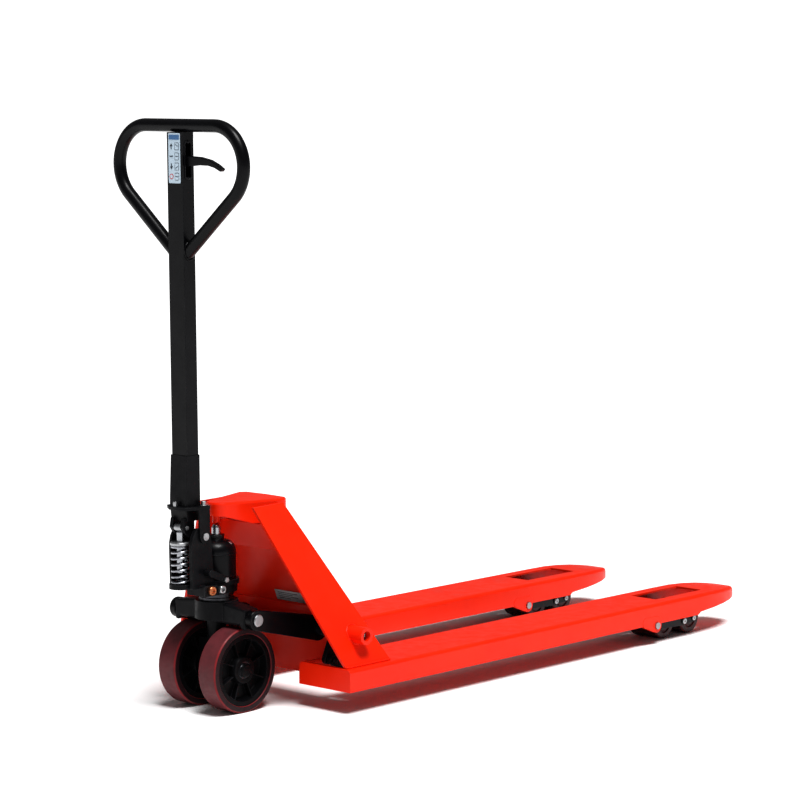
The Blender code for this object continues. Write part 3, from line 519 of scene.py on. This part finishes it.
def hex_head(name, centre, axis, across, height, body, slot, washer=0.0):
    """A chamfered hexagon head, on a plain washer if one is wanted."""
    base = 0.0012 if washer else 0.0
    radius = across / math.sqrt(3)
    top = base + height
    profile = [(0, base), (radius, base), (radius, top - 0.0008), (radius * 0.86, top), (0, top)]
    shape = lathe(profile, centre, axis, 6)
    if washer:
        thick = base - 0.0001
        join(shape, lathe([(0, 0), (washer, 0), (washer, thick), (0, thick)], centre, axis, 32))
    return finish_piece(name, shape, looks[slot], body, 0.0004, 2)


def pin_head(name, centre, axis, radius, height, body, slot="zinc", socket=0.0):
    """A domed pin or rivet head, with a turned recess if a socket radius is given."""
    profile = [(0, 0), (radius, 0), (radius, height * 0.55), (radius * 0.86, height * 0.9)]
    if socket:
        profile += [(socket * 1.1, height), (socket, height * 0.92)]
        profile += [(socket * 0.9, height * 0.35), (0, height * 0.3)]
    else:
        profile += [(radius * 0.55, height), (0, height * 1.03)]
    return finish_piece(name, lathe(profile, centre, axis, 36), looks[slot], body, sharp=50)


# ---------------------------------------------------------------- wheels

def centre_of(node_name):
    """The middle of a node's box and its half sizes."""
    low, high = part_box(node_name)
    return (low + high) / 2, (high - low) / 2


def add_steer_wheel(side):
    """A tyre with creased shoulders, on its hub."""
    centre, half = centre_of(f"steer_tyre_{side}")
    width, radius = half.y, half.z
    seat = radius - TYRE_DEPTH
    tread = [(seat, -width + 0.0010), (seat + 0.0015, -width), (radius - WHEEL_CREASE, -width)]
    tread += [(radius - 0.0006, -width + WHEEL_CREASE * 0.9), (radius, -width + WHEEL_CREASE * 1.5)]
    tread += [(r, -along) for r, along in reversed(tread)]
    shape = lathe(tread, centre, (0, 1, 0), 128)
    tyre = finish_piece(f"wheel_{side}_tread", shape, looks["polyurethane"], f"wheel_{side}",
                        0.0008, 2)
    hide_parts(f"steer_tyre_{side}")
    add_hub(side, centre, width - 0.0025, seat - 0.0003)


def add_hub(side, centre, half, rim):
    """A ribbed hub with a dished web, and the bearing's rings in its bore."""
    profile = [(0.0182, -half), (0.0275, -half), (0.0300, -half + 0.006), (0.0310, -0.006), (0.060, -0.005)]
    profile += [(0.0640, -half + 0.008), (0.0655, -half), (rim, -half)]
    profile += [(r, -along) for r, along in reversed(profile)]
    shape = lathe(fillet(profile, 0.0015, (1, 3, 4, 6, 9, 11, 12, 14)), centre, (0, 1, 0), 96)
    for face in (-1, 1):
        for i in range(HUB_RIBS):
            angle = 2 * math.pi * (i + 0.5) / HUB_RIBS
            out = Vector((math.cos(angle), 0, math.sin(angle)))
            side_way = Vector((0, face, 0))
            outline = [(0.0290, 0.003), (0.0660, 0.003), (0.0655, half - 0.0035), (0.0290, half - 0.0060)]
            origin = centre - out.cross(side_way) * (RIB_THICKNESS / 2)
            join(shape, prism((outline, RIB_THICKNESS), origin, out, side_way))
    hub = finish_piece(f"wheel_{side}_hub", shape, hub_black, f"wheel_{side}", sharp=32)
    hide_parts(f"steer_hub_{side}")
    bearing = [(0.0106, -half + 0.0012), (0.0130, -half + 0.0006), (0.0136, -half + 0.0016)]
    bearing += [(0.0158, -half + 0.0016), (0.0162, -half + 0.0006), (0.0179, -half + 0.0006)]
    bearing += [(r, -along) for r, along in reversed(bearing)]
    shape = lathe(bearing, centre, (0, 1, 0), 64)
    race = finish_piece(f"wheel_{side}_bearing", shape, looks["dark_steel"], f"wheel_{side}")
    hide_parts(f"wheel_bearing_{side}")


def add_roller(side, end):
    """A load roller with a stepped face, and the ring of the bearing on each side."""
    name = f"load_roller_{side}_{end}"
    centre, half = centre_of(name)
    width, radius = half.y, half.z
    profile = [(0.0053, -width + 0.0030), (0.0120, -width + 0.0030), (0.0128, -width + 0.0010)]
    profile += [(0.0200, -width + 0.0010), (0.0210, -width + 0.0030), (0.0235, -width + 0.0030)]
    profile += [(0.0245, -width)]
    profile += [(radius - ROLLER_EDGE, -width), (radius, -width + ROLLER_EDGE)]
    profile += [(r, -along) for r, along in reversed(profile)]
    body = f"roller_{side}_{end}"
    shape = lathe(profile, centre, (0, 1, 0), 72)
    look = looks["roller_tread"]
    piece = finish_piece(f"{name}_finish", shape, look, body, 0.0006, 2)
    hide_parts(name)
    for face in (-1, 1):
        spot = centre + Vector((0, face * (width - 0.0028), 0))
        ring = [(0.0062, 0), (0.0110, 0), (0.0110, 0.0012), (0.0062, 0.0012)]
        tag = "in" if face < 0 else "out"
        shape = lathe(ring, spot, (0, face, 0), 40)
        finish_piece(f"{name}_race_{tag}", shape, looks["zinc"], body, 0.0003, 2)


# ---------------------------------------------------------------- tiller

def tilted(x, y, z):
    """A point on the upright tiller, leaned about its pivot as the whole tiller leans."""
    dx, dz = x - HANDLE_PIVOT[0], z - HANDLE_PIVOT[1]
    cos, sin = math.cos(HANDLE_LEAN), math.sin(HANDLE_LEAN)
    return at(HANDLE_PIVOT[0] + dx * cos - dz * sin, y, HANDLE_PIVOT[1] + dx * sin + dz * cos)


TILLER_UP = (tilted(0, 0, 1) - tilted(0, 0, 0)).normalized()
TILLER_BACK = (tilted(-1, 0, 0) - tilted(0, 0, 0)).normalized()


def loop_path():
    """The loop's centre line across and up, and the point where a leg meets the post."""
    arc_z = LOOP_TOP - LOOP_ARC_RADIUS
    steps = 30
    bend = []
    for i in range(steps + 1):
        angle = -LOOP_LEG_ANGLE + (math.pi / 2 + LOOP_LEG_ANGLE) * i / steps
        across, rise = LOOP_ARC_RADIUS * math.cos(angle), LOOP_ARC_RADIUS * math.sin(angle)
        bend.append((LOOP_ARC_Y + across, arc_z + rise))
    leg_y, leg_z = bend[0]
    foot_y = POST_HALF[1] - 0.004
    foot = (foot_y, leg_z - (leg_y - foot_y) / math.tan(LOOP_LEG_ANGLE))
    legs = [(foot[0] + (leg_y - foot[0]) * t / 6, foot[1] + (leg_z - foot[1]) * t / 6) for t in range(6)]
    half = legs + bend
    return half + [(-y, z) for y, z in reversed(half)], foot


def add_tiller():
    """The socket, post, loop grip and its welds, and the bolt on the socket's flange."""
    refine("handle_base", 0.0022, 3)
    refine("control_lever", 0.0026, 3)
    refine("socket_bolt", 0.0008, 2)
    refine("handle_post", 0.0022, 3, sharp=50)
    path, foot = loop_path()
    line = [tilted(POST_X, y, z) for y, z in path]
    shape = sweep(line, lambda i: LOOP_TUBE, 32)
    look = looks["black_enamel"]
    loop = finish_piece("handle_loop_finish", shape, look, "handle", sharp=60)
    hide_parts("handle_loop")
    for side, sign in SIDES:
        ring = []
        steps = 40
        stretch = LOOP_TUBE / math.sin(LOOP_LEG_ANGLE)
        for i in range(steps + 1):
            angle = 2 * math.pi * i / steps
            x = POST_X + (LOOP_TUBE + 0.0008) * math.cos(angle)
            z = foot[1] + 0.0037 + (stretch + 0.0008) * math.sin(angle)
            ring.append(tilted(x, sign * (POST_HALF[1] + 0.0004), z))
        weld_bead(f"loop_weld_{side}", ring, 0.0018, "handle", "black_enamel", closed=True)
    add_slot_bezel()
    add_label()
    hex_head("flange_bolt", tilted(*FLANGE_BOLT), TILLER_UP, 0.0100, 0.0085, "handle", "zinc", 0.0070)


def add_slot_bezel():
    """A pressed frame round the slot that the control lever comes out of."""
    face = tilted(POST_X, -POST_HALF[1], SLOT_MIDDLE)
    outer = rounded_box_outline(0.0210, 0.0790, 0.0060)
    inner = rounded_box_outline(0.0155, 0.0705, 0.0040)
    shape = bmesh.new()
    u, v, out = -TILLER_BACK, TILLER_UP, Vector((0, -1, 0))
    loops = []
    for points, lift in ((outer, 0.0), (outer, 0.0013), (inner, 0.0013), (inner, 0.0)):
        loops.append([shape.verts.new(face + u * a + v * b + out * lift) for a, b in points])
    for low, high in zip(loops, loops[1:] + loops[:1]):
        for i in range(len(low)):
            j = (i + 1) % len(low)
            shape.faces.new((low[i], low[j], high[j], high[i]))
    finish_piece("slot_bezel", shape, looks["black_enamel"], "handle", 0.0004, 2)
    for end, height in SLOT_RIVETS:
        place = tilted(POST_X, -POST_HALF[1] - 0.0002, height)
        pin_head(f"slot_rivet_{end}", place, (0, -1, 0), 0.0034, 0.0018, "handle", "black_enamel")


def add_label():
    """The operating label: a plain header band and four rows, each with a lever sign and a mark."""
    low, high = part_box("handle_label")
    middle = (low + high) / 2
    height = high.z - low.z
    outline = rounded_box_outline(0.0350, height - 0.0006, 0.0030)
    film = prism((outline, 0.0004), middle + TILLER_BACK * 0.0004, (0, 1, 0), TILLER_UP)
    piece = finish_piece("label_film_finish", film, looks["label_film"], "handle", 0.00015, 1)
    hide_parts("handle_label")
    top = height / 2
    header = rounded_box_outline(0.0300, 0.0100, 0.0015)
    add_mark("label_header", middle, header, (0, top - 0.0085), ink_blue)
    for row, turn in enumerate((1, 0, -1, 2)):
        add_label_row(middle, row, turn, top - 0.0270 - row * LABEL_ROW_PITCH)


def add_mark(name, middle, outline, shift, look, lift=0.0):
    """One flat printed mark on the label, shifted across and up from its middle."""
    points = [(a + shift[0], b + shift[1]) for a, b in outline]
    shape = prism((points, 0.00012), middle + TILLER_BACK * (0.0009 + lift), (0, 1, 0), TILLER_UP)
    finish_piece(name, shape, look, "handle")


def add_label_row(middle, row, turn, level):
    """One row: a bordered square with a slanted lever in it, and beside it an arrow, a bar or a ring."""
    sign_place, mark_place = (-0.0075, level), (0.0085, level)
    box = rounded_box_outline(0.0120, 0.0150, 0.0012)
    add_mark(f"label_square_{row}", middle, box, sign_place, ink)
    inner = rounded_box_outline(0.0100, 0.0130, 0.0008)
    add_mark(f"label_field_{row}", middle, inner, sign_place, looks["label_film"], 0.0001)
    rise = 0.0035 * (turn if turn < 2 else 0)
    slant = [(-0.0038, -0.0008), (0.0038, rise - 0.0008), (0.0038, rise + 0.0010), (-0.0038, 0.0010)]
    add_mark(f"label_lever_{row}", middle, slant, sign_place, ink, 0.0002)
    if turn == 2:
        turns = [t / 12 * math.pi for t in range(24)]
        ring = [(0.0055 * math.cos(angle), 0.0055 * math.sin(angle)) for angle in turns]
        disc = [(a * 0.7, b * 0.7) for a, b in ring]
        add_mark(f"label_ring_{row}", middle, ring, mark_place, ink_red)
        add_mark(f"label_disc_{row}", middle, disc, mark_place, looks["label_film"], 0.0001)
        return
    if turn == 0:
        bar = [(-0.0050, -0.0012), (0.0050, -0.0012), (0.0050, 0.0012), (-0.0050, 0.0012)]
        add_mark(f"label_bar_{row}", middle, bar, mark_place, ink)
        return
    head = [(-0.0042, 0), (0.0042, 0), (0, turn * 0.0062)]
    tail, neck = -turn * 0.0060, turn * 0.0004
    stem = [(-0.0013, tail), (0.0013, tail), (0.0013, neck), (-0.0013, neck)]
    add_mark(f"label_head_{row}", middle, head, mark_place, ink)
    add_mark(f"label_stem_{row}", middle, stem, mark_place, ink)


# ---------------------------------------------------------------- pump

def add_pump():
    """The pump's castings, plugs, seams, gland and deck bolts."""
    refine("pump_body", 0.0022, 3)
    refine("reservoir", 0.0008, 2, sharp=50)
    refine("axle_yoke", 0.0020, 2)
    refine("release_arm", 0.0010, 2)
    refine("release_screw", 0.0006, 2)
    refine("spring_cap", 0.0008, 2)
    for plug in ("drain_plug", "relief_valve_cap"):
        add_plug(plug)
    add_spring()
    centre, half = centre_of("reservoir")
    wall, crest = half.x + 0.0001, half.x + 0.0011
    seam = [(wall, -0.0012), (crest, -0.0004), (crest, 0.0004), (wall, 0.0012)]
    enamel = looks["black_enamel"]
    for level, tag in SEAM_LEVELS:
        shape = lathe(seam, Vector((centre.x, 0, level)), (0, 0, 1), 80)
        finish_piece(f"reservoir_seam_{tag}", shape, enamel, "steer")
    shoulder = Vector((centre.x + 0.012, -0.026, 0.3480))
    hex_head("filler_plug", shoulder, (0.25, -0.45, 1), 0.0110, 0.0050, "steer", "zinc", 0.0070)
    gland = [(0.0103, 0), (0.0180, 0), (0.0180, 0.0050), (0.0165, 0.0062), (0.0103, 0.0062)]
    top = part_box("reservoir")[1].z
    shape = lathe(gland, Vector((centre.x, 0, top - 0.0035)), (0, 0, 1), 6)
    finish_piece("gland_ring", shape, enamel, "steer", 0.0006, 2)
    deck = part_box("pump_body")[0].z + 0.0265
    for index, (x, y) in enumerate(DECK_BOLTS):
        place = at(x, y, deck - 0.0002)
        hex_head(f"deck_bolt_{index}", place, (0, 0, 1), 0.0080, 0.0045, "steer", "zinc", 0.0055)


def add_plug(name):
    """A round plug with a turned recess in its face."""
    centre, half = centre_of(name)
    radius, depth = half.x, half.y * 2
    slot = slot_of(name)
    profile = [(0, 0), (radius, 0), (radius, depth - 0.0010), (radius - 0.0009, depth)]
    profile += [(radius * 0.52, depth), (radius * 0.50, depth * 0.45), (0, depth * 0.42)]
    back = centre + Vector((0, half.y, 0))
    shape = lathe(profile, back, (0, -1, 0), 48)
    piece = finish_piece(f"{name}_finish", shape, looks[slot], "steer", sharp=35)
    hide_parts(name)


def add_spring():
    """The coil spring, its end turns flat."""
    low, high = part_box("pump_spring")
    x, y = (low.x + high.x) / 2, (low.y + high.y) / 2
    bottom, top = low.z, high.z
    steps = 28
    count = round(SPRING_TURNS * steps)
    path = []
    for i in range(count + 1):
        turn = i / steps
        share = min(1, max(0, (turn - SPRING_FLAT_TURN) / (SPRING_TURNS - 2 * SPRING_FLAT_TURN)))
        height = bottom + SPRING_WIRE + share * (top - bottom - 2 * SPRING_WIRE)
        angle = 2 * math.pi * turn
        path.append(Vector((x + SPRING_COIL * math.cos(angle), y + SPRING_COIL * math.sin(angle), height)))
    shape = sweep(path, lambda i: SPRING_WIRE, 14)
    look = looks["spring_steel"]
    spring = finish_piece("pump_spring_finish", shape, look, "steer", sharp=60)
    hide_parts("pump_spring")
    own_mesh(spring)


# ---------------------------------------------------------------- chassis and linkage

def brace_face(sign, height):
    """How far out a brace's outer face stands at a height."""
    return sign * (BRACE_FOOT[0] - (height - BRACE_FOOT[1]) * BRACE_LEAN)


def add_chassis():
    """The forks, braces, plates and linkage with rounded edges, and the welds that join them."""
    for side, sign in SIDES:
        refine(f"fork_{side}", 0.0013, 2)
        refine(f"brace_{side}", 0.0020, 3)
        add_brace_welds(side, sign)
        refine(f"wheel_frame_{side}", 0.0008, 2)
        refine(f"bogie_{side}", 0.0008, 2)
        refine(f"push_rod_{side}", 0.0010, 2)
        refine(f"crank_{side}", 0.0015, 2)
        refine(f"rocker_arm_{side}", 0.0015, 2)
        add_link_pins(side, sign)
    refine("head_cap", 0.0012, 2)
    refine("head_front_plate", 0.0012, 2)
    refine("load_plate_upper", 0.0012, 2)
    refine("load_plate_lower", 0.0012, 2)
    refine("thrust_plate", 0.0010, 2)
    add_data_plate()


def add_brace_welds(side, sign):
    """The welds along a brace's foot and round its shaft boss, and the plug in the boss."""
    back, front = BRACE_WELD_X
    for name, y, radius in (("brace_weld", 0.2548, 0.0024), ("brace_weld_inner", 0.2452, 0.0022)):
        line = seam_line(at(back, sign * y, BRACE_WELD_Z), at(front, sign * y, BRACE_WELD_Z))
        weld_bead(f"{name}_{side}", line, radius, "chassis")
    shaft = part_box("rocker_shaft")
    x, z = (shaft[0].x + shaft[1].x) / 2, (shaft[0].z + shaft[1].z) / 2
    steps = 44
    ring = []
    for i in range(steps + 1):
        angle = 2 * math.pi * i / steps
        height = z + BOSS_WELD_RADIUS * math.sin(angle)
        y = brace_face(sign, height) + sign * 0.0004
        ring.append(Vector((x + BOSS_WELD_RADIUS * math.cos(angle), y, height)))
    weld_bead(f"boss_weld_{side}", ring, 0.0020, "chassis", closed=True)
    plug = Vector((x, sign * 0.2452, z))
    pin_head(f"shaft_plug_{side}", plug, (0, sign, 0), 0.0098, 0.0040, "chassis", "bright_steel", 0.004)


def add_link_pins(side, sign):
    """Plated pin heads on the load rollers' axles and on the frame's tip and ear pins."""
    middle = sign * FORK_Y
    for wall in (-1, 1):
        tag = "out" if wall * sign > 0 else "in"
        out = (0, wall, 0)
        spot = at(ROLLER_ARM_TIP[0], middle + wall * 0.0628, ROLLER_ARM_TIP[1])
        pin_head(f"tip_pin_{side}_{tag}", spot, out, 0.0072, 0.0022, f"frame_{side}", "zinc", 0.002)
        axle_x = ROLLER_ARM_TIP[0] + ROLLER_HALF_PITCH
        axle = at(axle_x, middle + wall * 0.0538, ROLLER_ARM_TIP[1])
        pin_head(f"axle_pin_{side}_{tag}", axle, out, 0.0064, 0.0020, f"bogie_{side}", "zinc", 0.002)
        ear = at(EAR_PIN[0], middle + wall * 0.0772, EAR_PIN[1])
        washer = [(0, 0), (0.0078, 0), (0.0078, 0.0006), (0.0070, 0.0011), (0, 0.0012)]
        shape = lathe(washer, ear, out, 40)
        finish_piece(f"ear_cap_{side}_{tag}", shape, looks["zinc"], "chassis")


def add_data_plate():
    """A blank rating plate with rounded corners, plain ruled lines and four rivets."""
    low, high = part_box("data_plate")
    middle = (low + high) / 2
    half_y = (high.y - low.y) / 2
    rise = high.z - low.z
    lean = Vector((high.x - low.x - 0.001, 0, -rise)).normalized()
    up = -lean
    across = Vector((0, 1, 0))
    out = across.cross(up)
    if out.x > 0:
        across, out = -across, -out
    length = rise / abs(up.z)
    outline = rounded_box_outline(2 * half_y, length, 0.0025)
    slab = prism((outline, 0.0008), middle + out * 0.0001, across, up)
    piece = finish_piece("data_plate_finish", slab, looks["data_plate"], "chassis", 0.0002, 1)
    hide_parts("data_plate")
    for row in range(4):
        b = length * (0.26 - 0.17 * row)
        wide = half_y * (1.35, 1.0, 1.35, 0.8)[row]
        start = -half_y * 0.78
        end = start + wide
        line = [(start, b - 0.0007), (end, b - 0.0007), (end, b + 0.0007), (start, b + 0.0007)]
        shape = prism((line, 0.0002), middle + out * 0.0009, across, up)
        finish_piece(f"plate_rule_{row}", shape, ink, "chassis")
    for index, (a, b) in enumerate(((-1, -1), (1, -1), (1, 1), (-1, 1))):
        spot = middle + across * (a * (half_y - 0.003)) + up * (b * (length / 2 - 0.003)) + out * 0.0008
        pin_head(f"plate_rivet_{index}", spot, out, 0.0014, 0.0008, "chassis", "zinc")


def finish_bare_nodes():
    """Give every CAD node still on show the look of its slot."""
    for name, obj in nodes.items():
        slot = slot_of(name)
        look = hub_black if name == "steer_axle" else looks[slot]
        obj.data.materials.clear()
        obj.data.materials.append(look)


# ---------------------------------------------------------------- studio

def add_studio():
    """A plain pale floor, an even sky that shows white, and one broad soft light."""
    floor = bpy.data.meshes.new("floor")
    reach = FLOOR_HALF
    corners = [(-reach, -reach, 0), (reach, -reach, 0), (reach, reach, 0), (-reach, reach, 0)]
    floor.from_pydata(corners, [], [(0, 1, 2, 3)])
    material, tree, shader = new_material("floor_look")
    shader.inputs["Base Color"].default_value = (0.97, 0.97, 0.97, 1)
    shader.inputs["Roughness"].default_value = 1.0
    shader.inputs["Specular IOR Level"].default_value = 0.0
    floor.materials.append(material)
    ground = bpy.data.objects.new("floor", floor)
    bpy.context.scene.collection.objects.link(ground)
    world = bpy.data.worlds.new("studio")
    world.use_nodes = True
    tree = world.node_tree
    background = tree.nodes["Background"]
    background.inputs["Color"].default_value = (1.0, 1.0, 1.0, 1)
    seen = node(tree, "ShaderNodeLightPath").outputs["Is Camera Ray"]
    limits = {"Value": seen, "To Min": SKY_LIGHT, "To Max": 1.0}
    strength = node(tree, "ShaderNodeMapRange", limits).outputs["Result"]
    tree.links.new(strength, background.inputs["Strength"])
    bpy.context.scene.world = world
    bpy.context.scene.view_settings.view_transform = "Standard"
    bpy.context.scene.view_settings.look = "Medium High Contrast"
    sun = bpy.data.lights.new("sun", "SUN")
    sun.energy = SUN_POWER
    sun.angle = SUN_SPREAD
    lamp = bpy.data.objects.new("sun", sun)
    lamp.rotation_euler = (-Vector(SUN_FROM)).to_track_quat("-Z", "Y").to_euler()
    bpy.context.scene.collection.objects.link(lamp)


def add_camera():
    """The photograph's camera, as solved from the outline."""
    data = bpy.data.cameras.new("camera")
    data.sensor_width = 36.0
    data.lens = CAMERA_LENS
    camera = bpy.data.objects.new("camera", data)
    level, drop = math.cos(CAMERA_PITCH), math.sin(CAMERA_PITCH)
    ahead = Vector((math.cos(CAMERA_YAW) * level, math.sin(CAMERA_YAW) * level, -drop))
    right = Vector((math.sin(CAMERA_YAW), -math.cos(CAMERA_YAW), 0))
    up = right.cross(ahead)
    turn = Matrix((right, up, -ahead)).transposed()
    camera.matrix_world = Matrix.Translation(CAMERA_PLACE) @ turn.to_4x4()
    bpy.context.scene.collection.objects.link(camera)
    bpy.context.scene.camera = camera


add_camera()
add_studio()
finish_bare_nodes()
for side, _ in SIDES:
    add_steer_wheel(side)
    for end in ("inner", "outer"):
        add_roller(side, end)
add_tiller()
add_pump()
add_chassis()
